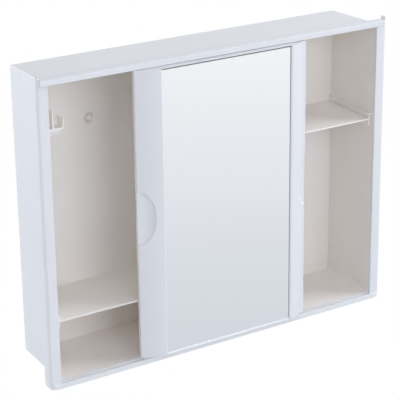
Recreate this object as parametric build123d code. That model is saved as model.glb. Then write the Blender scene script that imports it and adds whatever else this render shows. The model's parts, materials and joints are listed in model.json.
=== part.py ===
from build123d import *
from math import hypot, radians, sqrt, tan
import os

# A wall-hung medicine cabinet: a drafted plastic tub with a flanged front, two sloping half
# shelves, and one mirror door that slides sideways between a top and a bottom track rail.
# X runs along the width, +Y into the wall (the wall is y = 0) and +Z up, in millimetres.
# Heights are measured from the bottom of the front. The last step moves the origin to the
# middle of the two wall screw holes.

# Front and case
front_width = 520.0
front_height = 400.5
case_depth = 97.0
case_wall = 2.5
side_draft = 1.4
fall_angle = 3.4
floor_front_height = 10.2
rim_rise = 4.5
case_corner_radius = 5.5
case_rim_radius = 0.5
case_edge_radius = 2.5

# Wall screw holes
screw_spacing = 280.0
screw_drop = 89.5
screw_hole_radius = 2.75
dimple_radius = 8.3
dimple_floor_radius = 3.5
dimple_depth = 1.6

# Side flanges
flange_width = 15.5
flange_thickness = 2.5
flange_corner_radius = 7.0
flange_edge_radius = 4.0
flange_inner_edge_radius = 0.8
skirt_thickness = 2.0
skirt_depth_top = 8.5
skirt_depth_bottom = 14.5
ear_rise = 3.3
ear_corner_radius = 2.4
seat_rib_thickness = 2.0
seat_rib_depth = 3.0

# Track rails
rail_forward = 2.5
rail_lift = 1.6
rail_end_inset = 4.0
rail_foot_radius = 6.5
rail_head_radius = 3.5
lip_thickness = 2.5
groove_width = 3.4
track_back_wall = 1.6
lower_lip_height = 6.7
track_floor_height = 3.5
track_floor_thickness = 2.0
track_back_height = 9.0
rim_fall = 1.3
upper_lip_drop = 8.6
upper_back_drop = 7.6
upper_groove_depth = 6.1
lip_edge_radius = 0.8

# Divider and shelves
divider_thickness = 3.0
shelf_thickness = 2.3
left_shelf_height = 89.5
right_shelf_drop = 136.0
shelf_setback = 1.5
shelf_edge_radius = 0.9
shelf_rail_height = 17.5
shelf_rail_web = 1.5
shelf_engagement = 2.2
shelf_end_clearance = 0.3
shelf_lid_clearance = 0.4
rail_core_depth = 5.0

# Hook on the left wall
hook_drop = 73.5
hook_base_thickness = 2.4
hook_gusset_height = 6.6
hook_gusset_setback = 4.0
hook_reach = 22.5
hook_length = 14.0
hook_prong = 1.8
hook_inner_prong_gap = 7.0
hook_inner_prong_height = 22.0
hook_tip_height = 12.0
hook_corner_radius = 1.5

# Door
door_width = 257.0
door_back_clearance = 0.2
stile_width = 32.0
stile_edge = 4.5
stile_bow = 13.3
bow_sagitta = 1.8
door_skin = 2.2
door_rib_thickness = 2.0
door_rib_count = 5
door_run_clearance = 0.3
door_over_track = 0.8
door_under_lip = 0.6
tongue_thickness = 2.4
tongue_inset = 4.0
upper_tongue_height = 3.7
nose_thickness = 2.2
nose_radius = 1.7
door_edge_radius = 0.6

# Finger grips
grip_height = 69.0
grip_reach = 21.0
grip_edge_thickness = 3.3
grip_hollow_radius = 16.0
grip_section_count = 5
grip_end_share = 0.35
grip_block_margin = 4.0

# Mirror
glass_thickness = 3.0
glass_recess = 3.0
glass_side_cover = 5.0
glass_side_clearance = 0.3
glass_top_clearance = 1.4
door_ledge_thickness = 1.5
door_ledge_setback = 0.8
ledge_bead = 1.2
door_header = 1.1
pad_thickness = 1.0
pad_width = 19.0
pad_count = 3
pad_end_margin = 25.0
back_plate_thickness = 2.0

# How far cutting shapes run past the faces they open, and the largest share of a wall that a
# corner radius may take
cut_overrun = 1.0
corner_share = 0.8

# Places worked out from the sizes above
half_front = front_width / 2
half_opening = half_front - flange_width
face_y = -case_depth
lip_front_y = face_y - rail_forward
groove_front_y = lip_front_y + lip_thickness
groove_back_y = groove_front_y + groove_width
tub_front_y = groove_back_y + track_back_wall
back_inner_y = -case_wall
case_top = front_height - rim_rise
case_inner_top = case_top - case_wall
fall = tan(radians(fall_angle))
skirt_x = half_front - skirt_thickness
half_rail = half_front - rail_end_inset
lower_lip_z = rail_lift + lower_lip_height
track_floor_z = rail_lift + track_floor_height
track_back_z = rail_lift + track_back_height
upper_lip_z = front_height - upper_lip_drop
screw_height = front_height - screw_drop

door_rear_y = tub_front_y - door_back_clearance
door_edge_y = door_rear_y - stile_edge
door_front_y = door_edge_y - stile_bow
half_door = door_width / 2
half_mirror = half_door - stile_width
half_glass = half_mirror + glass_side_cover
half_channel = half_glass + glass_side_clearance
stile_inside = half_channel + door_skin
channel_front_y = door_front_y + nose_thickness
glass_front_y = door_front_y + glass_recess
glass_back_y = glass_front_y + glass_thickness
plate_front_y = glass_back_y + pad_thickness
plate_back_y = plate_front_y + back_plate_thickness
door_top = upper_lip_z - door_under_lip
door_bottom = track_back_z + door_over_track
glass_bottom = door_bottom + door_ledge_thickness
glass_top = door_top - door_header - glass_top_clearance
grip_center_height = (door_bottom + door_top) / 2

inside_front_y = tub_front_y + shelf_setback
shelf_rail_thickness = shelf_rail_web + shelf_engagement
right_shelf_height = front_height - right_shelf_drop


def block(x0, x1, y0, y1, z0, z1):
    corner = Pos(min(x0, x1), min(y0, y1), min(z0, z1))
    return corner * Box(abs(x1 - x0), abs(y1 - y0), abs(z1 - z0), align=(Align.MIN, Align.MIN, Align.MIN))


def side_profile(points, x0, x1):
    """A closed outline of (y, z) points, extruded along X from x0 to x1."""
    plane = Plane(origin=(x0, 0, 0), x_dir=(0, 1, 0), z_dir=(1, 0, 0))
    return extrude(plane * make_face(Polyline(*points, close=True)), x1 - x0)


def front_plane(y):
    return Plane(origin=(0, y, 0), x_dir=(1, 0, 0), z_dir=(0, -1, 0))


# Case: the tub narrows a little towards the wall and its floor falls to the front

def inner_half_width(y):
    return half_opening - side_draft * (y - tub_front_y) / -tub_front_y


def floor_height(y):
    return floor_front_height + fall * (y - tub_front_y)


def tub_section(y, grow):
    """Section of the tub at depth y, grown outward from the inner faces."""
    half = inner_half_width(y) + grow
    low = floor_height(y) - grow
    high = case_inner_top + grow
    outline = Pos(0, (low + high) / 2) * Rectangle(2 * half, high - low)
    outline = fillet(outline.vertices().group_by(Axis.Y)[0], case_corner_radius + grow)
    outline = fillet(outline.vertices().group_by(Axis.Y)[-1], case_rim_radius + grow)
    return front_plane(y) * outline


def tub_space(overrun=0.0):
    front = tub_front_y - overrun
    return loft([tub_section(front, 0), tub_section(back_inner_y, 0)], ruled=True)


def make_case_shell():
    outside = loft([tub_section(tub_front_y, case_wall), tub_section(0, case_wall)], ruled=True)
    outside = fillet(outside.faces().sort_by(Axis.Y)[-1].edges(), case_edge_radius)
    shell = outside - tub_space(cut_overrun)
    for side in (-1, 1):
        axis = Plane(origin=(side * screw_spacing / 2, back_inner_y, screw_height), z_dir=(0, 1, 0))
        low_end = (Align.CENTER, Align.CENTER, Align.MIN)
        shell -= axis * Cylinder(screw_hole_radius, case_wall, align=low_end)
        shell -= axis * Cone(dimple_radius, dimple_floor_radius, dimple_depth, align=low_end)
    return shell


# Side flanges: a flat face between the rails, a skirt turned back at the outer edge that
# rises into an ear above the top rail, and a seat for the tub

def make_side_flange():
    top = front_height + ear_rise
    outline = Pos((half_opening + half_front) / 2, top / 2) * Rectangle(flange_width, top)
    foot = outline.vertices().group_by(Axis.X)[-1].sort_by(Axis.Y)[0]
    outline = fillet(foot, flange_corner_radius)
    piece = extrude(front_plane(face_y) * outline, -skirt_depth_bottom)
    front_loop = piece.faces().sort_by(Axis.Y)[0].edges()
    piece = fillet(front_loop.sort_by(Axis.X)[1:].sort_by(Axis.Z)[:-1], flange_edge_radius)
    ear = outline.vertices().group_by(Axis.Y)[-1].sort_by(Axis.X)[-1]
    outline = fillet(ear, ear_corner_radius)
    piece &= extrude(front_plane(face_y) * outline, -skirt_depth_bottom)

    seat_x = half_opening + case_wall
    rib_x = seat_x + seat_rib_thickness
    behind = face_y + skirt_depth_bottom
    pocket_y = face_y + flange_thickness
    low = skirt_thickness
    high = case_top - skirt_thickness
    hollow = Pos((rib_x + skirt_x) / 2, (low + high) / 2) * Rectangle(skirt_x - rib_x, high - low)
    corner = hollow.vertices().group_by(Axis.X)[-1].sort_by(Axis.Y)[0]
    hollow = fillet(corner, min(flange_corner_radius - skirt_thickness, corner_share * (skirt_x - rib_x)))
    piece -= extrude(front_plane(pocket_y) * hollow, pocket_y - behind)
    piece -= block(half_opening, seat_x, tub_front_y, behind, 0, top)
    piece -= block(seat_x, rib_x, tub_front_y + seat_rib_depth, behind, 0, top)
    piece -= block(half_opening, skirt_x, face_y, tub_front_y, 0, track_back_z)
    piece -= block(half_opening, skirt_x, face_y, tub_front_y, upper_lip_z, top)
    piece -= block(half_opening, skirt_x, tub_front_y, behind, case_top, top)
    slant = [
        (face_y + skirt_depth_top, top),
        (behind, 0),
        (behind, top),
    ]
    piece -= side_profile(slant, half_opening, half_front)
    inner_edge = piece.edges().filter_by(Axis.Z).sort_by_distance((half_opening, face_y, front_height / 2))[0]
    return fillet(inner_edge, flange_inner_edge_radius)


# Track rails: a front lip nearly as wide as the front, a groove for the door's tongue between
# the flanges, solid ends over the flanges, and a wall that meets the tub

def make_rail(track, end, foot_radius, head_radius):
    """A rail of one section between the flanges and another over them, with rounded ends."""
    rail = side_profile(track, -half_opening, half_opening)
    for side in (-1, 1):
        rail += side_profile(end, *sorted((side * half_opening, side * half_rail)))
    low = min(z for y, z in track)
    high = max(z for y, z in track)
    outline = Pos(0, (low + high) / 2) * Rectangle(2 * half_rail, high - low)
    outline = fillet(outline.vertices().group_by(Axis.Y)[0], foot_radius)
    outline = fillet(outline.vertices().group_by(Axis.Y)[-1], head_radius)
    rail &= extrude(front_plane(lip_front_y) * outline, lip_front_y - tub_front_y)
    for side in (-1, 1):
        rail -= block(side * skirt_x, side * half_front, face_y, tub_front_y, low, high)
    return fillet(rail.faces().sort_by(Axis.Y)[0].edges(), lip_edge_radius)


def make_bottom_track_rail():
    floor_low = track_floor_z - track_floor_thickness
    track = [
        (lip_front_y, rail_lift),
        (lip_front_y, lower_lip_z),
        (groove_front_y, lower_lip_z),
        (groove_front_y, track_floor_z),
        (groove_back_y, track_floor_z),
        (groove_back_y, track_back_z),
        (tub_front_y, track_back_z),
        (tub_front_y, rail_lift),
        (groove_back_y, rail_lift),
        (groove_back_y, floor_low),
        (groove_front_y, floor_low),
        (groove_front_y, rail_lift),
    ]
    end = [
        (lip_front_y, rail_lift),
        (lip_front_y, lower_lip_z),
        (face_y, lower_lip_z),
        (face_y, track_back_z),
        (tub_front_y, track_back_z),
        (tub_front_y, rail_lift),
    ]
    foot_radius = min(rail_foot_radius, corner_share * (track_back_height - lip_edge_radius))
    rail = make_rail(track, end, foot_radius, lip_edge_radius)
    seat_z = floor_front_height - case_wall
    seat_back_y = tub_front_y + seat_rib_depth
    return rail + block(
        -half_opening, half_opening, groove_back_y, seat_back_y, seat_z - seat_rib_thickness, seat_z,
    )


def make_top_track_rail():
    groove_top = upper_lip_z + upper_groove_depth
    back_low = front_height - upper_back_drop
    track = [
        (lip_front_y, upper_lip_z),
        (lip_front_y, front_height - rim_fall),
        (tub_front_y, front_height),
        (tub_front_y, back_low),
        (groove_back_y, back_low),
        (groove_back_y, groove_top),
        (groove_front_y, groove_top),
        (groove_front_y, upper_lip_z),
    ]
    end = [
        (lip_front_y, upper_lip_z),
        (lip_front_y, front_height - rim_fall),
        (tub_front_y, front_height),
        (tub_front_y, upper_lip_z),
    ]
    return make_rail(track, end, lip_edge_radius, rail_head_radius)


# Divider, shelves and the grooved strips that hold them

def make_centre_divider():
    outline = [
        (inside_front_y, floor_height(inside_front_y)),
        (back_inner_y, floor_height(back_inner_y)),
        (back_inner_y, case_inner_top),
        (inside_front_y, case_inner_top),
    ]
    return side_profile(outline, -divider_thickness / 2, divider_thickness / 2)


def sloped_bar(front_low, front_high, x0, x1):
    """A bar from the inside front to the back wall that falls to the front as the shelves do."""
    rise = fall * (back_inner_y - inside_front_y)
    outline = [
        (inside_front_y, front_low),
        (back_inner_y, front_low + rise),
        (back_inner_y, front_high + rise),
        (inside_front_y, front_high),
    ]
    return side_profile(outline, x0, x1)


shelf_outer_x = inner_half_width(back_inner_y) - shelf_rail_web - shelf_end_clearance
shelf_inner_x = divider_thickness / 2 + shelf_rail_web + shelf_end_clearance


def make_shelf(side, height):
    ends = sorted((side * shelf_inner_x, side * shelf_outer_x))
    shelf = sloped_bar(height - shelf_thickness, height, *ends)
    front_edges = shelf.edges().filter_by(Axis.X).group_by(Axis.Y)[0]
    return fillet(front_edges, shelf_edge_radius)


def make_shelf_rails(side, height):
    middle = height - shelf_thickness / 2
    low = middle - shelf_rail_height / 2
    high = middle + shelf_rail_height / 2
    slot_inner_x = shelf_inner_x - shelf_end_clearance
    slot_outer_x = shelf_outer_x + shelf_end_clearance
    slot_ends = sorted((side * slot_inner_x, side * slot_outer_x))
    slot = sloped_bar(height - shelf_thickness, height + shelf_lid_clearance, *slot_ends)
    wall_face = slot_outer_x - shelf_engagement
    wall_ends = sorted((side * wall_face, side * half_front))
    divider_face = divider_thickness / 2
    divider_ends = sorted((side * divider_face, side * (divider_face + shelf_rail_thickness)))
    core_ends = (inside_front_y - cut_overrun, inside_front_y + rail_core_depth)
    core = block(
        side * slot_outer_x, side * half_front, *core_ends, low + shelf_rail_web, high - shelf_rail_web,
    )
    wall_rail = (sloped_bar(low, high, *wall_ends) & tub_space()) - slot - core
    divider_rail = sloped_bar(low, high, *divider_ends) - slot
    return wall_rail, divider_rail


# Hook: a tall prong beside the left wall and a short upturned tip on one thin web, with a
# gusset under it whose front falls away

def make_utility_hook():
    wall_x = -half_opening
    root_x = wall_x - case_wall
    low = front_height - hook_drop
    web = low + hook_gusset_height
    base = web + hook_base_thickness
    prong_x = wall_x + hook_inner_prong_gap
    tip_x = wall_x + hook_reach
    outline = [
        (root_x, web),
        (tip_x, web),
        (tip_x, base + hook_tip_height),
        (tip_x - hook_prong, base + hook_tip_height),
        (tip_x - hook_prong, base),
        (prong_x + hook_prong, base),
        (prong_x + hook_prong, base + hook_inner_prong_height),
        (prong_x, base + hook_inner_prong_height),
        (prong_x, base),
        (root_x, base),
    ]
    face = make_face(Polyline(*outline, close=True))
    inner_corner = face.vertices().sort_by_distance((tip_x - hook_prong, base))[0]
    face = fillet(inner_corner, hook_corner_radius)
    outer_corner = face.vertices().sort_by_distance((tip_x, web))[0]
    face = fillet(outer_corner, hook_corner_radius + hook_prong)
    hook = extrude(front_plane(inside_front_y) * face, -hook_length)
    hook_back_y = inside_front_y + hook_length
    gusset = [
        (inside_front_y, web),
        (inside_front_y + hook_gusset_setback, low),
        (hook_back_y, low),
        (hook_back_y, web),
    ]
    hook += side_profile(gusset, root_x, tip_x - hook_corner_radius - hook_prong)
    return hook & tub_space()


# Door: bowed stiles, a backing plate, webs and ribs, and tongues that run in the grooves

bow_run = stile_width
bow_chord = hypot(bow_run, stile_bow)
bow_radius = (bow_chord**2 / 4 + bow_sagitta**2) / (2 * bow_sagitta)
bow_center_x = half_door - bow_run / 2 - (bow_radius - bow_sagitta) * stile_bow / bow_chord
bow_center_y = door_edge_y - stile_bow / 2 + (bow_radius - bow_sagitta) * bow_run / bow_chord


def bow_y(x, inset=0.0):
    """Depth of the bowed face of the right stile, or of a face inset behind it."""
    return bow_center_y - sqrt((bow_radius - inset) ** 2 - (x - bow_center_x) ** 2)


def bow_arc(x0, x1, inset=0.0):
    points = [(x, bow_y(x, inset)) for x in (x0, (x0 + x1) / 2, x1)]
    return ThreePointArc(*points)


def both_halves(outline, low, high):
    """Extrude a plan outline of the right half, its front edges rounded, and mirror it."""
    face = make_face(outline)
    nose = face.vertices().sort_by_distance((half_mirror, door_front_y))[0]
    face = fillet(nose, min(nose_radius, corner_share * nose_thickness))
    face = fillet(face.vertices().sort_by_distance((half_door, door_edge_y))[0], door_edge_radius)
    half = extrude(Pos(0, 0, low) * face, high - low)
    return half + mirror(half, about=Plane.YZ)


def make_skin(low, high):
    """Constant section of stile skins, glass channels and backing plate."""
    inner_edge_x = half_door - door_skin
    outline = bow_arc(half_mirror, half_door)
    outline += Polyline(
        (half_door, door_edge_y),
        (half_door, door_rear_y),
        (inner_edge_x, door_rear_y),
        (inner_edge_x, bow_y(inner_edge_x, door_skin)),
    )
    outline += bow_arc(inner_edge_x, stile_inside, door_skin)
    outline += Polyline(
        (stile_inside, bow_y(stile_inside, door_skin)),
        (stile_inside, plate_back_y),
        (0, plate_back_y),
        (0, plate_front_y),
        (half_channel, plate_front_y),
        (half_channel, channel_front_y),
        (half_mirror, channel_front_y),
        (half_mirror, door_front_y),
    )
    return both_halves(outline, low, high)


def make_rib(low, high):
    """Full-depth plate behind the glass, from stile to stile."""
    outline = bow_arc(half_mirror, half_door)
    outline += Polyline(
        (half_door, door_edge_y),
        (half_door, door_rear_y),
        (0, door_rear_y),
        (0, plate_front_y),
        (half_channel, plate_front_y),
        (half_channel, channel_front_y),
        (half_mirror, channel_front_y),
        (half_mirror, door_front_y),
    )
    return both_halves(outline, low, high)


def make_bottom_web():
    """Feet of the two stiles, and between them the ledge that carries the glass."""
    outline = bow_arc(half_mirror, half_door)
    outline += Polyline(
        (half_door, door_edge_y),
        (half_door, door_rear_y),
        (half_mirror, door_rear_y),
        (half_mirror, door_front_y),
    )
    feet = both_halves(outline, door_bottom, glass_bottom)
    ledge_front_y = door_front_y + door_ledge_setback
    bead = [
        (ledge_front_y, glass_bottom),
        (glass_front_y, glass_bottom + ledge_bead),
        (glass_front_y, glass_bottom),
    ]
    ledge = block(-half_channel, half_channel, ledge_front_y, door_rear_y, door_bottom, glass_bottom)
    return feet + ledge + side_profile(bead, -half_mirror, half_mirror)


def grip_spread(height):
    """How far the hollow has widened at a height above its floor: flat first, then steep."""
    return sqrt(grip_hollow_radius**2 - (grip_hollow_radius - height) ** 2)


def make_grip_scoops():
    floor_y = door_rear_y - grip_edge_thickness
    mouth = min(floor_y - door_front_y + cut_overrun, grip_hollow_radius)
    floor_reach = grip_reach - grip_spread(floor_y - bow_y(half_door - grip_reach))
    floor_half_height = grip_height / 2 - grip_end_share * grip_spread(floor_y - door_edge_y)
    sections = []
    for number in range(grip_section_count):
        height = mouth * (number / (grip_section_count - 1)) ** 2
        spread = grip_spread(height)
        place = front_plane(floor_y - height) * Pos(half_door, grip_center_height)
        sections.append(place * Ellipse(floor_reach + spread, floor_half_height + grip_end_share * spread))
    scoop = loft(sections)
    return scoop, mirror(scoop, about=Plane.YZ)


def make_door_frame():
    door = make_skin(glass_bottom, door_top) + make_bottom_web()
    door += make_rib(door_top - door_rib_thickness, door_top)
    door += block(-half_channel, half_channel, glass_front_y, door_rear_y, door_top - door_header, door_top)
    pitch = (door_top - door_bottom) / (door_rib_count + 1)
    for number in range(1, door_rib_count + 1):
        middle = door_bottom + number * pitch
        door += make_rib(middle - door_rib_thickness / 2, middle + door_rib_thickness / 2)

    grip_half = grip_height / 2 + grip_block_margin
    grip_band = make_rib(grip_center_height - grip_half, grip_center_height + grip_half)
    door += grip_band - block(
        -stile_inside, stile_inside, door_front_y - cut_overrun, door_rear_y + cut_overrun,
        grip_center_height - grip_half, grip_center_height + grip_half,
    )
    tongue_half = half_door - tongue_inset
    tongue_front_y = groove_front_y + (groove_width - tongue_thickness) / 2
    tongue_back_y = tongue_front_y + tongue_thickness
    tongue_low = track_floor_z + door_run_clearance
    door += block(-tongue_half, tongue_half, tongue_front_y, tongue_back_y, tongue_low, door_bottom)
    tongue_high = door_top + upper_tongue_height
    door += block(-tongue_half, tongue_half, tongue_front_y, tongue_back_y, door_top, tongue_high)
    for scoop in make_grip_scoops():
        door -= scoop
    return door


def make_mirror_glass():
    return block(-half_glass, half_glass, glass_front_y, glass_back_y, glass_bottom, glass_top)


def make_mirror_pads():
    pitch = 2 * half_glass / pad_count
    pads = []
    for number in range(pad_count):
        middle = -half_glass + (number + 0.5) * pitch
        pads.append(
            block(
                middle - pad_width / 2, middle + pad_width / 2, glass_back_y, plate_front_y,
                glass_bottom + pad_end_margin, glass_top - pad_end_margin,
            )
        )
    return Compound(pads)


right_flange = make_side_flange()
left_wall_rail, left_divider_rail = make_shelf_rails(-1, left_shelf_height)
right_wall_rail, right_divider_rail = make_shelf_rails(1, right_shelf_height)

pieces = {
    "case_shell": make_case_shell(),
    "left_side_flange": mirror(right_flange, about=Plane.YZ),
    "right_side_flange": right_flange,
    "bottom_track_rail": make_bottom_track_rail(),
    "top_track_rail": make_top_track_rail(),
    "centre_divider": make_centre_divider(),
    "left_shelf": make_shelf(-1, left_shelf_height),
    "right_shelf": make_shelf(1, right_shelf_height),
    "left_shelf_wall_rail": left_wall_rail,
    "left_shelf_divider_rail": left_divider_rail,
    "right_shelf_wall_rail": right_wall_rail,
    "right_shelf_divider_rail": right_divider_rail,
    "utility_hook": make_utility_hook(),
    "door_frame": make_door_frame(),
    "mirror_glass": make_mirror_glass(),
    "mirror_pads": make_mirror_pads(),
}

os.makedirs("parts", exist_ok=True)
for name, piece in pieces.items():
    export_step(Pos(0, 0, -screw_height) * piece, f"parts/{name}.step")
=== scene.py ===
# %% [markdown]
# # A wall-hung medicine cabinet with one sliding mirror
# The cabinet is a white moulded tub with a flanged front. Two rails run across the front, and a
# mirror door slides sideways between them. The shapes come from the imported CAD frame, so this
# lesson is about what Blender adds: the camera, the finishes, a few small pieces and the light.

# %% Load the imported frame
import json
from math import cos, pi, radians, sin, sqrt

import bmesh
import bpy
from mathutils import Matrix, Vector


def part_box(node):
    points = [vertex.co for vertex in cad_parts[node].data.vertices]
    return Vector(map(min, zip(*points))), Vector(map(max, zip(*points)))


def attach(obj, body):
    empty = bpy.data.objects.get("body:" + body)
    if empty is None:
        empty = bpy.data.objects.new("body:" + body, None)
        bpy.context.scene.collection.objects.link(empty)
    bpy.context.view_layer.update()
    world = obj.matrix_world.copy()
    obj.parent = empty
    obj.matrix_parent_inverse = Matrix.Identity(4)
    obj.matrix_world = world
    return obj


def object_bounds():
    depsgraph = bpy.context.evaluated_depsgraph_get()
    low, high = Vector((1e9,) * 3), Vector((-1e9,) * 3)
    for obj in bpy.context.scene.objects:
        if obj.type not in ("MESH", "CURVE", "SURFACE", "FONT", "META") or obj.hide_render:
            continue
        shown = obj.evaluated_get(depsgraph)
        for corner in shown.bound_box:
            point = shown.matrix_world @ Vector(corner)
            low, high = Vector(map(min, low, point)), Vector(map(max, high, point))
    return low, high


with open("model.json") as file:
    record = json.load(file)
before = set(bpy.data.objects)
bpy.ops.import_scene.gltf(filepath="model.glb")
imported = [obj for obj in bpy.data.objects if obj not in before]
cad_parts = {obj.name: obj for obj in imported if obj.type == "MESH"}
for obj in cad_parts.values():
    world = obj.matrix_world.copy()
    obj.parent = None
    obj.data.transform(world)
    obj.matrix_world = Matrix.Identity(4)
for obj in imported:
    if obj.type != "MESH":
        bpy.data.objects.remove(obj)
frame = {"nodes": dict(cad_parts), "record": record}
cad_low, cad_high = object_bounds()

scene = bpy.context.scene
nodes = frame["nodes"]
print("CAD box from", [round(v, 4) for v in cad_low], "to", [round(v, 4) for v in cad_high])

# %% [markdown]
# ## Camera
# The picture was taken with a long lens from the left and a little above. A camera could be aimed
# with a constraint, but fixed angles are easier to read and to change: azimuth and elevation say
# from where the camera looks, and a small roll tilts it as in the picture.

# %% Camera
CAMERA_AZIMUTH = -32.80
CAMERA_ELEVATION = 20.14
CAMERA_ROLL = -0.72
CAMERA_PLACE = (-1.0324, -1.6418, 0.5704)
LENS_MM = 139.05
SENSOR_MM = 36.0


def direction(azimuth_degrees, elevation_degrees):
    """Unit vector from the cabinet towards these angles, where azimuth 0 is straight in front."""
    azimuth = radians(azimuth_degrees)
    elevation = radians(elevation_degrees)
    return Vector((sin(azimuth) * cos(elevation), -cos(azimuth) * cos(elevation), sin(elevation)))


towards_camera = direction(CAMERA_AZIMUTH, CAMERA_ELEVATION)
camera_data = bpy.data.cameras.new("camera")
camera_data.lens = LENS_MM
camera_data.sensor_width = SENSOR_MM
camera = bpy.data.objects.new("camera", camera_data)
camera.rotation_euler = towards_camera.to_track_quat("Z", "Y").to_euler()
camera.rotation_euler.rotate_axis("Z", radians(CAMERA_ROLL))
camera.location = CAMERA_PLACE
scene.collection.objects.link(camera)
scene.camera = camera
print("camera looks along", [round(-v, 3) for v in towards_camera])

# %% [markdown]
# ## Helpers for the finishes
# Colours are written as the hex values of a paint card and turned to linear light in one place.
# The size of a pattern is written in millimetres and turned into a texture scale.

# %% Colour and size helpers


def linear(hex_colour):
    """An sRGB hex colour as linear red, green, blue and alpha."""
    parts = [int(hex_colour[k:k + 2], 16) / 255 for k in (1, 3, 5)]
    return [c / 12.92 if c <= 0.04045 else ((c + 0.055) / 1.055) ** 2.4 for c in parts] + [1.0]


def metres(length_mm):
    """A length in millimetres as metres, the unit of the frame."""
    return length_mm / 1000


def per_metre(size_mm):
    """Texture scale that gives features of a real size, for coordinates in metres."""
    return 1000 / size_mm


print("a paint card's mid grey is", round(linear("#808080")[0], 3), "in linear light")

# %% [markdown]
# Every shader node is added by one small function that takes its inputs, its options and, for a
# colour ramp, its stops, so the finishes below read like recipes.

# %% Node helpers


def add(tree, kind, inputs=(), stops=(), **options):
    """Add a node. An input is a value or another node's output; a stop is a position and a colour."""
    node = tree.nodes.new(kind)
    for name, value in options.items():
        setattr(node, name, value)
    for name, value in dict(inputs).items():
        if isinstance(value, bpy.types.NodeSocket):
            tree.links.new(value, node.inputs[name])
        else:
            node.inputs[name].default_value = value
    for number, (position, hex_colour) in enumerate(stops):
        ramp = node.color_ramp.elements
        if number == 0:
            ramp.remove(ramp[1])
        stop = ramp[0] if number == 0 else ramp.new(position)
        stop.position = position
        stop.color = linear(hex_colour)
    return node


def new_material(name):
    """An empty node material and its tree."""
    material = bpy.data.materials.new(name)
    material.use_nodes = True
    material.node_tree.nodes.clear()
    return material, material.node_tree


# %% [markdown]
# ## Screw dimples
# Two shallow dimples in the back wall mark where the screws go. Their cones lie in a shade that is only
# a few pixels wide and easily lost, so a faint grey ring of painted shade is tinted on them. An image
# texture could hold it, but the distance from the screw's axis places it just as well. Both screws are
# the same distance from the middle, so the absolute value of the coordinates folds them into one.

# %% Dimple ring
DIMPLE_REACH_MM = 10
# Radius in millimetres and grey of the painted shade on the dimple cones
PAINTED_SHADE_RING_MM = ((3.0, "#ffffff"), (4.2, "#e2dcd8"), (6.2, "#e6e1dd"), (8.6, "#ffffff"))

wall_screws = next(mount for mount in frame["record"]["mounts"] if mount["name"] == "wall_screws")
half_spacing = metres(wall_screws["dims"]["spacing_x_mm"] / 2)


def dimple_painted_shade_ring(tree, place):
    """Painted shade: grey on the cones of both screw dimples and white everywhere else."""
    folded = add(tree, "ShaderNodeVectorMath", {0: place}, operation="ABSOLUTE")
    from_axis = add(
        tree, "ShaderNodeVectorMath", {0: folded.outputs["Vector"], 1: (half_spacing, 0, 0)},
        operation="SUBTRACT",
    )
    on_the_wall = (per_metre(DIMPLE_REACH_MM), 0, per_metre(DIMPLE_REACH_MM))
    flat = add(
        tree, "ShaderNodeVectorMath", {0: from_axis.outputs["Vector"], 1: on_the_wall},
        operation="MULTIPLY",
    )
    radius = add(tree, "ShaderNodeVectorMath", {0: flat.outputs["Vector"]}, operation="LENGTH")
    ring = add(
        tree, "ShaderNodeValToRGB", {"Fac": radius.outputs["Value"]},
        stops=[(radius_mm / DIMPLE_REACH_MM, grey) for radius_mm, grey in PAINTED_SHADE_RING_MM],
    )
    return ring.outputs["Color"]


print("screw axes at x =", -half_spacing, "and", half_spacing)

# %% [markdown]
# ## Inside and outside
# The picture shows the inside of the tub warmer than its outside. That warm tone is light: light that
# passes through the thin polystyrene and back and forth between its walls, and tracing it would be slow.
# So the inside is simply given a cream tint of painted warm light, which was chosen to match the
# picture. One mesh has both sides, and two material slots would mean editing it. A face belongs to the
# inside where it looks towards the middle of the tub's mouth, which a dot product with its normal tells.

# %% Inside mask
tub_low, tub_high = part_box("case_shell")
tub_middle = [(low + high) / 2 for low, high in zip(tub_low, tub_high)]
tub_mouth = (tub_middle[0], tub_low[1], tub_middle[2])


def looks_inside(tree, place, normal):
    """1 on faces that look towards the middle of the tub's mouth, and 0 on the others."""
    from_mouth = add(tree, "ShaderNodeVectorMath", {0: place, 1: tub_mouth}, operation="SUBTRACT")
    outward = add(
        tree, "ShaderNodeVectorMath", {0: from_mouth.outputs["Vector"], 1: normal},
        operation="DOT_PRODUCT",
    )
    mask = add(tree, "ShaderNodeMath", {0: outward.outputs["Value"], 1: 0.0}, operation="LESS_THAN")
    return mask.outputs["Value"]


print("middle of the mouth at", [round(v, 4) for v in tub_mouth])

# %% [markdown]
# ## Moulded polystyrene
# Case, flanges, rails, shelves and door are injection-moulded high-impact polystyrene: white with a
# soft gloss. A plain colour would look like paper, so faint patterns are laid over it. The first is
# the tint: where the plastic flowed into the mould it leaves clouds tens of millimetres wide, which
# are barely lighter or darker than each other.

# %% Tint of the plastic
FLOW_CLOUD_MM = 70
CLOUD_DETAIL = 3.0
CLOUD_SPAN = (0.3, 0.7)


def polystyrene_tint(tree, coordinates, outside, inside):
    """Clouded tints, each from deep to light, with the painted shade ring of the dimples on the inside.
    """
    place = coordinates.outputs["Object"]
    clouds = add(
        tree, "ShaderNodeTexNoise",
        {"Vector": place, "Scale": per_metre(FLOW_CLOUD_MM), "Detail": CLOUD_DETAIL},
    ).outputs["Fac"]
    outer = add(tree, "ShaderNodeValToRGB", {"Fac": clouds}, stops=zip(CLOUD_SPAN, outside))
    inner = add(tree, "ShaderNodeValToRGB", {"Fac": clouds}, stops=zip(CLOUD_SPAN, inside))
    # The painted shade of the dimple cones multiplies the inside tint
    shade_ringed = add(
        tree, "ShaderNodeMix", data_type="RGBA", blend_type="MULTIPLY",
        inputs={"Factor": 1.0, "A": inner.outputs["Color"], "B": dimple_painted_shade_ring(tree, place)},
    )
    # Faces inside the tub take the inside tint, which on the case is painted warm light
    inside_mask = looks_inside(tree, place, coordinates.outputs["Normal"])
    tint = add(
        tree, "ShaderNodeMix", data_type="RGBA",
        inputs={"Factor": inside_mask, "A": outer.outputs["Color"], "B": shade_ringed.outputs["Result"]},
    )
    return tint.outputs["Result"]


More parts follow.
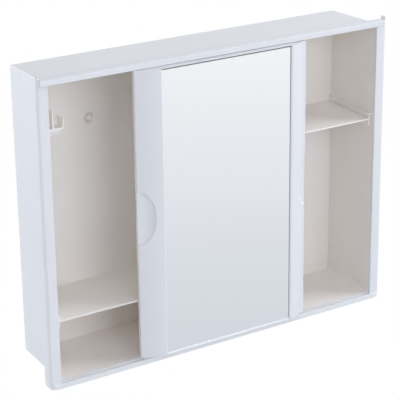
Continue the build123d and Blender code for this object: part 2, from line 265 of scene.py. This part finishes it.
# %% [markdown]
# The other two patterns belong to the skin. The polish of the mould varies over some millimetres,
# and a slight ripple keeps reflections from being perfect. Real polish marks and ripples are finer,
# but at this picture size they would turn to grain, so both are drawn coarse. A moulding has no
# knife edge either: the bevel node rounds every edge for the light without touching the mesh.

# %% Skin of the plastic
POLISH_PATCH_MM = 9
POLISH_DETAIL = 4.0
SKIN_RIPPLE_MM = 14
RIPPLE_DETAIL = 2.0
RIPPLE_DEPTH_MM = 0.1
EDGE_ROUNDING_MM = 0.4
EDGE_SAMPLES = 6


def polystyrene_roughness(tree, place, gloss, dull):
    """Roughness that wanders between a glossy and a dull value."""
    polish = add(
        tree, "ShaderNodeTexNoise",
        {"Vector": place, "Scale": per_metre(POLISH_PATCH_MM), "Detail": POLISH_DETAIL},
    )
    roughness = add(
        tree, "ShaderNodeMapRange", {"Value": polish.outputs["Fac"], "To Min": gloss, "To Max": dull},
    )
    return roughness.outputs["Result"]


def polystyrene_normal(tree, place, ripple):
    """The slightly rippled surface with rounded edges."""
    skin = add(
        tree, "ShaderNodeTexNoise",
        {"Vector": place, "Scale": per_metre(SKIN_RIPPLE_MM), "Detail": RIPPLE_DETAIL},
    )
    rounded = add(
        tree, "ShaderNodeBevel", {"Radius": metres(EDGE_ROUNDING_MM)}, samples=EDGE_SAMPLES,
    )
    bump = add(
        tree, "ShaderNodeBump",
        {
            "Height": skin.outputs["Fac"],
            "Normal": rounded.outputs["Normal"],
            "Strength": ripple,
            "Distance": metres(RIPPLE_DEPTH_MM),
        },
    )
    return bump.outputs["Normal"]


# %% [markdown]
# Three finishes come from tint and skin. The case is satin, white outside, with a cream of painted warm
# light inside. The parts that live inside it carry that painted warm cream all round and are a little
# duller. The front is the face of the cabinet, so its mould is polished better.

# %% Three moulded finishes
POLYSTYRENE_IOR = 1.59
WHITE = ("#edeeee", "#f0f0f0")
# Cream of painted warm light, for the faces inside the tub
PAINTED_WARM_LIGHT_CREAM = ("#f5f0ea", "#f8f3ed")


def moulded_polystyrene(name, outside, inside, gloss, dull, ripple):
    """A finish with tints (deep, light) outside and inside, a roughness range and a ripple."""
    material, tree = new_material(name)
    coordinates = add(tree, "ShaderNodeTexCoord")
    place = coordinates.outputs["Object"]
    surface = add(
        tree, "ShaderNodeBsdfPrincipled",
        {
            "Base Color": polystyrene_tint(tree, coordinates, outside, inside),
            "Roughness": polystyrene_roughness(tree, place, gloss, dull),
            "Normal": polystyrene_normal(tree, place, ripple),
            "IOR": POLYSTYRENE_IOR,
        },
    )
    add(tree, "ShaderNodeOutputMaterial", {"Surface": surface.outputs["BSDF"]})
    return material


case_finish = moulded_polystyrene(
    "satin_moulded_polystyrene", WHITE, PAINTED_WARM_LIGHT_CREAM, gloss=0.2, dull=0.3, ripple=0.06,
)
# The inside parts carry the cream of painted warm light on every face
inner_painted_warm_light_finish = moulded_polystyrene(
    "moulded_polystyrene_with_painted_warm_light", PAINTED_WARM_LIGHT_CREAM, PAINTED_WARM_LIGHT_CREAM, gloss=0.28, dull=0.38, ripple=0.06,
)
front_finish = moulded_polystyrene(
    "polished_moulded_polystyrene", WHITE, WHITE, gloss=0.17, dull=0.26, ripple=0.04,
)
print("polystyrene finishes:", case_finish.name, inner_painted_warm_light_finish.name, front_finish.name)

# %% [markdown]
# ## Silvered float glass
# A mirror is clear glass with silver on its back. It gives a sharp picture of the room and a thin
# green line at its edge. Modelling glass and silver apart doubles every edge and costs light paths,
# so one metal surface stands for both on the front, and only the cut edges show the green of float
# glass. The way a face looks chooses between them. A breath of haze, a few centimetres wide, keeps
# the reflection from being perfect.

# %% Mirror
SILVER = "#f3f4f6"
MIRROR_HAZE_MM = 40
HAZE_ROUGHNESS = (0.01, 0.03)
CUT_EDGE_GREEN = "#9db5aa"
CUT_EDGE_ROUGHNESS = 0.35
FLOAT_GLASS_IOR = 1.52
# Faces whose normal points further forward than this are silvered
FRONT_NORMAL_Y = -0.5

mirror_finish, tree = new_material("silvered_float_glass")
coordinates = add(tree, "ShaderNodeTexCoord")
haze = add(
    tree, "ShaderNodeTexNoise",
    {"Vector": coordinates.outputs["Object"], "Scale": per_metre(MIRROR_HAZE_MM)},
)
haze_roughness = add(
    tree, "ShaderNodeMapRange",
    {"Value": haze.outputs["Fac"], "To Min": HAZE_ROUGHNESS[0], "To Max": HAZE_ROUGHNESS[1]},
)
silver = add(
    tree, "ShaderNodeBsdfPrincipled",
    {"Base Color": linear(SILVER), "Metallic": 1.0, "Roughness": haze_roughness.outputs["Result"]},
)
cut_edge = add(
    tree, "ShaderNodeBsdfPrincipled",
    {
        "Base Color": linear(CUT_EDGE_GREEN),
        "Roughness": CUT_EDGE_ROUGHNESS,
        "IOR": FLOAT_GLASS_IOR,
    },
)
axes = add(tree, "ShaderNodeSeparateXYZ", {"Vector": coordinates.outputs["Normal"]})
faces_front = add(
    tree, "ShaderNodeMath", {0: axes.outputs["Y"], 1: FRONT_NORMAL_Y}, operation="LESS_THAN",
)
pane = add(
    tree, "ShaderNodeMixShader",
    {0: faces_front.outputs["Value"], 1: cut_edge.outputs["BSDF"], 2: silver.outputs["BSDF"]},
)
add(tree, "ShaderNodeOutputMaterial", {"Surface": pane.outputs["Shader"]})
print(mirror_finish.name, "has", len(tree.nodes), "nodes")

# %% [markdown]
# ## Foam pads
# Strips of grey polyethylene foam hold the glass to the door's backing plate. They are hidden
# behind the glass, so a matt colour with the pattern of closed cells is enough. The cells are drawn
# a little coarser than real ones.

# %% Foam
FOAM_CELL_MM = 1.2
CELL_SPAN = (0.3, 0.7)
CELL_GREYS = ("#8d8f90", "#b4b6b6")
FOAM_ROUGHNESS = 0.9

foam_finish, tree = new_material("closed_cell_polyethylene_foam")
place = add(tree, "ShaderNodeTexCoord").outputs["Object"]
cells = add(tree, "ShaderNodeTexVoronoi", {"Vector": place, "Scale": per_metre(FOAM_CELL_MM)})
grey = add(
    tree, "ShaderNodeValToRGB", {"Fac": cells.outputs["Distance"]}, stops=zip(CELL_SPAN, CELL_GREYS),
)
foam = add(
    tree, "ShaderNodeBsdfPrincipled",
    {"Base Color": grey.outputs["Color"], "Roughness": FOAM_ROUGHNESS},
)
add(tree, "ShaderNodeOutputMaterial", {"Surface": foam.outputs["BSDF"]})
print(foam_finish.name, "has", len(tree.nodes), "nodes")

# %% [markdown]
# ## Dress the nodes
# The CAD nodes have the right shape, so each keeps its mesh and only its material slots change.

# %% Assign finishes
FINISHES = {"case_shell": case_finish, "mirror_glass": mirror_finish, "mirror_pads": foam_finish}
POLISHED = ("left_side_flange", "right_side_flange", "bottom_track_rail", "top_track_rail", "door_frame")

for name, node in nodes.items():
    finish = FINISHES.get(name, front_finish if name in POLISHED else inner_painted_warm_light_finish)
    for material_slot in node.material_slots:
        material_slot.material = finish
    print(name, "is", finish.name)

# %% [markdown]
# ## New pieces
# Six small forms are missing from the CAD model and are made here as meshes. All of them are bands:
# a row of sections, each a closed ring of points, joined to the next. A curve with a bevel could
# sweep one section, but these sections change on the way. One function builds the faces, puts the
# piece on its body and gives it its finish.

# %% Band helper
MERGE_DISTANCE = 1e-7
CREASE_DEGREES = 40


def banded_piece(name, sections, finish, closed=False):
    """A solid skinned over sections with equal numbers of points. A closed row joins its ends."""
    count = len(sections[0])
    points = [point for section in sections for point in section]
    faces = []
    for k in range(len(sections) if closed else len(sections) - 1):
        low = k * count
        high = (k + 1) % len(sections) * count
        for i in range(count):
            j = (i + 1) % count
            faces.append((low + i, low + j, high + j, high + i))
    if not closed:
        faces.append(tuple(reversed(range(count))))
        faces.append(tuple(range(len(points) - count, len(points))))
    mesh = bpy.data.meshes.new(name)
    mesh.from_pydata(points, [], faces)
    mesh.materials.append(finish)
    working = bmesh.new()
    working.from_mesh(mesh)
    bmesh.ops.remove_doubles(working, verts=working.verts, dist=MERGE_DISTANCE)
    bmesh.ops.recalc_face_normals(working, faces=working.faces)
    working.to_mesh(mesh)
    working.free()
    mesh.shade_smooth()
    mesh.set_sharp_from_angle(angle=radians(CREASE_DEGREES))
    piece = bpy.data.objects.new(name, mesh)
    scene.collection.objects.link(piece)
    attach(piece, "cabinet")
    print(name, "has", len(mesh.polygons), "faces")


# %% [markdown]
# ### Skins in the screw holes
# Some mouldings keep a thin skin across each screw hole, which the screw breaks when the cabinet is
# hung. In the picture the middle of the dimple is as pale as the wall, so each hole gets its skin:
# a profile turned round the hole's axis, level with the floor of the dimple.

# %% Screw hole skins
SKIN_SIDES = 32
RIM_GAP_MM = 0.01

rim_mm = wall_screws["dims"]["hole_r_mm"] - RIM_GAP_MM
# Radius and depth of each point, from the front of the skin round its rim to its back
skin_profile_mm = (
    (0.0, -0.88), (1.2, -0.88), (2.3, -0.87), (2.6, -0.84),
    (rim_mm, -0.78), (rim_mm, -0.05), (1.4, 0.0), (0.0, 0.0),
)

for side_name, side in (("left", -1), ("right", 1)):
    turns = []
    for k in range(SKIN_SIDES):
        turn = radians(360 * k / SKIN_SIDES)
        turns.append([
            (side * half_spacing + metres(radius * cos(turn)), metres(depth), metres(radius * sin(turn)))
            for radius, depth in skin_profile_mm
        ])
    banded_piece(side_name + "_screw_hole_skin", turns, inner_painted_warm_light_finish, closed=True)

# %% [markdown]
# ### Corner returns
# At its four corners the front is one smooth moulding: the rounded edge of the flange runs on past
# the end of each rail. The CAD flange is cut away there to make room for the rail, which leaves a
# slot two millimetres wide. A return fills it with a band that keeps the flange's rounded section,
# from the skirt to the rail's own rounded end. The sections are worked out in millimetres on the
# right side, and the left side mirrors them.

# %% Sections of a corner return
SKIRT_MM = 2.0
EDGE_RADIUS_MM = 4.0
SECTION_STEPS = 5


def box_mm(name):
    """The low and high corners of a CAD node's box, in millimetres."""
    return [[value * 1000 for value in corner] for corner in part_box(name)]


flange_low, flange_high = box_mm("right_side_flange")
top_low, top_high = box_mm("top_track_rail")
bottom_low, bottom_high = box_mm("bottom_track_rail")
outer_x = flange_high[0]
rail_x = top_high[0]
rail_back_y = top_high[1]


def return_section(edge_x, edge_z, inward_x, inward_z, near, far):
    """One section of a return, from `near` to `far` millimetres inside the flange's outline."""
    section = []
    for k in range(SECTION_STEPS + 1):
        depth = near + (far - near) * k / SECTION_STEPS
        rounding = max(EDGE_RADIUS_MM - depth, 0)
        y = flange_low[1] + EDGE_RADIUS_MM - sqrt(EDGE_RADIUS_MM ** 2 - rounding ** 2)
        section.append((edge_x + depth * inward_x, y, edge_z + depth * inward_z))
    for depth in (far, near):
        section.append((edge_x + depth * inward_x, rail_back_y, edge_z + depth * inward_z))
    return section


print("rails end", round(outer_x - rail_x, 2), "mm inside the flange's outline")

# %% [markdown]
# A bottom return comes down the side, turns the flange's rounded corner and runs along the foot. In
# the turn, each section lies on a ray from the corner's centre and ends where the ray meets the
# rounded end of the rail.

# %% Bottom corner returns
CORNER_RADIUS_MM = 7.0
RAIL_FOOT_RADIUS_MM = 6.5
CORNER_STEP_DEGREES = 15
# Keeps the ray to the skirt finite where the turn ends
LEAST_COSINE = 0.01

foot_z = flange_low[2]
corner_x = outer_x - CORNER_RADIUS_MM
corner_z = foot_z + CORNER_RADIUS_MM
arc_x = rail_x - RAIL_FOOT_RADIUS_MM
arc_z = bottom_low[2] + RAIL_FOOT_RADIUS_MM


def ray_to_rail(across, down):
    """Length of a ray from the centre of the flange's corner to the rounded end of the rail."""
    shift_x = corner_x - arc_x
    shift_z = arc_z - corner_z
    along = shift_x * across + shift_z * down
    beyond = shift_x ** 2 + shift_z ** 2 - RAIL_FOOT_RADIUS_MM ** 2
    return sqrt(along ** 2 - beyond) - along


foot_sections = [return_section(outer_x, bottom_high[2], -1, 0, SKIRT_MM, outer_x - rail_x)]
for degrees in range(0, 90 + 1, CORNER_STEP_DEGREES):
    across = cos(radians(degrees))
    down = sin(radians(degrees))
    skirt_ray = (CORNER_RADIUS_MM - SKIRT_MM) / max(across, LEAST_COSINE)
    near = max(CORNER_RADIUS_MM - skirt_ray, 0)
    far = CORNER_RADIUS_MM - ray_to_rail(across, down)
    edge_x = corner_x + CORNER_RADIUS_MM * across
    edge_z = corner_z - CORNER_RADIUS_MM * down
    foot_sections.append(return_section(edge_x, edge_z, -across, down, near, far))
for x in ((corner_x + arc_x) / 2, arc_x, flange_low[0]):
    rail_z = arc_z - sqrt(RAIL_FOOT_RADIUS_MM ** 2 - max(x - arc_x, 0) ** 2)
    foot_sections.append(return_section(x, foot_z, 0, 1, 0, rail_z - foot_z))
print("a bottom return has", len(foot_sections), "sections")

# %% [markdown]
# A top return is a short upright strip that follows the rounded head of the rail. It stops just
# below the rail's top, where the strip would thin out to nothing.

# %% Top corner returns
RAIL_HEAD_RADIUS_MM = 3.5
# Where the upper sections lie, measured down from the rail's top
BELOW_HEAD_MM = (RAIL_HEAD_RADIUS_MM, 2.0, 1.2)

head_z = top_high[2]
head_sections = []
for z in [top_low[2]] + [head_z - below for below in BELOW_HEAD_MM]:
    above_arc = max(z - head_z + RAIL_HEAD_RADIUS_MM, 0)
    rail_end_x = rail_x - RAIL_HEAD_RADIUS_MM + sqrt(RAIL_HEAD_RADIUS_MM ** 2 - above_arc ** 2)
    head_sections.append(return_section(outer_x, z, -1, 0, SKIRT_MM, outer_x - rail_end_x))


def on_side(section, side):
    """A section in metres on the left (-1) or right (1) side."""
    return [(metres(side * x), metres(y), metres(z)) for x, y, z in section]


for side_name, side in (("left", -1), ("right", 1)):
    for end_name, sections in (("bottom", foot_sections), ("top", head_sections)):
        placed = [on_side(section, side) for section in sections]
        banded_piece(f"{side_name}_{end_name}_corner_return", placed, front_finish)

# %% [markdown]
# ## Floor
# The cabinet hangs, so the floor lies well below it and only closes the picture. It is white to the
# camera and through glass. In the mirror it glows a little darker close to the cabinet and clears with
# distance: painted shade of the floor near the cabinet, which gives the glass the soft change of tone
# that the picture shows. To all other light it is plain white paint.

# %% Floor
BACKGROUND_WHITE = "#ffffff"
FLOOR_DROP = 0.55
FLOOR_RADIUS = 14.0
FLOOR_SIDES = 96
FLOOR_PAINT = "#f4f4f4"
FADE_LENGTH = 4.0
# Painted shade that glows in reflections of the floor, darker near the cabinet
MIRRORED_FLOOR_SHADE = ((0.3, "#dcdfe5"), (0.45, "#e5e8ed"), (0.56, "#eef0f4"), (0.9, "#fdfdfe"))

floor_z = cad_low[2] - FLOOR_DROP
floor_mesh = bpy.data.meshes.new("floor")
outline = []
for k in range(FLOOR_SIDES):
    turn = radians(360 * k / FLOOR_SIDES)
    outline.append((FLOOR_RADIUS * cos(turn), FLOOR_RADIUS * sin(turn), floor_z))
floor_mesh.from_pydata(outline, [], [list(range(FLOOR_SIDES))])
floor = bpy.data.objects.new("floor", floor_mesh)
scene.collection.objects.link(floor)

floor_finish, tree = new_material("white_studio_floor")
place = add(tree, "ShaderNodeTexCoord").outputs["Object"]
flat = add(
    tree, "ShaderNodeVectorMath", {0: place, 1: (1 / FADE_LENGTH, 1 / FADE_LENGTH, 0)},
    operation="MULTIPLY",
)
distance = add(tree, "ShaderNodeVectorMath", {0: flat.outputs["Vector"]}, operation="LENGTH")
reflected_shade = add(tree, "ShaderNodeValToRGB", {"Fac": distance.outputs["Value"]}, stops=MIRRORED_FLOOR_SHADE)
path = add(tree, "ShaderNodeLightPath")
paint = add(tree, "ShaderNodeBsdfDiffuse", {"Color": linear(FLOOR_PAINT)})
# The floor as the mirror sees it glows with the painted shade
reflected = add(tree, "ShaderNodeEmission", {"Color": reflected_shade.outputs["Color"]})
white = add(tree, "ShaderNodeEmission", {"Color": linear(BACKGROUND_WHITE)})
lit = add(
    tree, "ShaderNodeMixShader",
    {0: path.outputs["Is Glossy Ray"], 1: paint.outputs["BSDF"], 2: reflected.outputs["Emission"]},
)
seen = add(
    tree, "ShaderNodeMath", {0: path.outputs["Is Camera Ray"], 1: path.outputs["Is Transmission Ray"]},
    operation="MAXIMUM",
)
shown = add(
    tree, "ShaderNodeMixShader",
    {0: seen.outputs["Value"], 1: lit.outputs["Shader"], 2: white.outputs["Emission"]},
)
add(tree, "ShaderNodeOutputMaterial", {"Surface": shown.outputs["Shader"]})
floor_mesh.materials.append(floor_finish)
print("floor at", round(floor_z, 3), "m")

# %% [markdown]
# ## Light
# The shades in the photograph look like the soft light of several softboxes in a white surround.
# Each softbox is an area lamp at the same distance, named for where it stands. Its level is written
# so that a lamp of level 1, alone, would light a white card that faces it to full white.

# %% Softboxes
LAMP_DISTANCE = 3.0
LAMP_COLOUR = "#f1f5ff"
# Azimuth and elevation in degrees, width in metres and level
LAMPS = {
    "front_softbox": (5, 15, 2.2, 0.31),
    "left_softbox": (-45, 30, 2.0, 0.15),
    "left_rear_softbox": (-125, 6, 2.4, 0.49),
    "right_key": (68, 40, 1.1, 0.45),
    "rear_edge_light": (-159, 28, 0.35, 0.07),
}


def softbox(name, azimuth, elevation, width, level):
    """A square area lamp that looks at the middle of the tub."""
    towards = direction(azimuth, elevation)
    lamp_data = bpy.data.lights.new(name, "AREA")
    lamp_data.size = width
    lamp_data.color = linear(LAMP_COLOUR)[:3]
    lamp_data.energy = level * (pi * LAMP_DISTANCE) ** 2
    lamp = bpy.data.objects.new(name, lamp_data)
    lamp.location = Vector(tub_middle) + LAMP_DISTANCE * towards
    lamp.rotation_euler = towards.to_track_quat("Z", "Y").to_euler()
    scene.collection.objects.link(lamp)
    print(name, "gives", round(lamp_data.energy, 1), "W")


for name, settings in LAMPS.items():
    softbox(name, *settings)

# %% [markdown]
# The surround fills the shadows. To the camera, to the mirror and through glass it is plain white.
# The walls of a white tub pass light on to each other many times. Blender stops after four diffuse
# bounces unless told otherwise, and the inside then comes out too dark, so twelve are allowed.

# %% World
DOME_COLOUR = "#f1f5ff"
DOME_STRENGTH = 0.3
DIFFUSE_BOUNCES = 12

world = bpy.data.worlds.new("light_tent")
world.use_nodes = True
tree = world.node_tree
tree.nodes.clear()
path = add(tree, "ShaderNodeLightPath")
dome = add(
    tree, "ShaderNodeBackground", {"Color": linear(DOME_COLOUR), "Strength": DOME_STRENGTH},
)
white = add(tree, "ShaderNodeBackground", {"Color": linear(BACKGROUND_WHITE)})
seen = add(
    tree, "ShaderNodeMath", {0: path.outputs["Is Camera Ray"], 1: path.outputs["Is Glossy Ray"]},
    operation="MAXIMUM",
)
shown = add(
    tree, "ShaderNodeMath", {0: seen.outputs["Value"], 1: path.outputs["Is Transmission Ray"]},
    operation="MAXIMUM",
)
mixed = add(
    tree, "ShaderNodeMixShader",
    {0: shown.outputs["Value"], 1: dome.outputs["Background"], 2: white.outputs["Background"]},
)
add(tree, "ShaderNodeOutputWorld", {"Surface": mixed.outputs["Shader"]})
scene.world = world
scene.view_settings.view_transform = "Standard"
scene.cycles.diffuse_bounces = DIFFUSE_BOUNCES
print(world.name, "fills with", DOME_STRENGTH, "and light bounces up to", DIFFUSE_BOUNCES, "times")
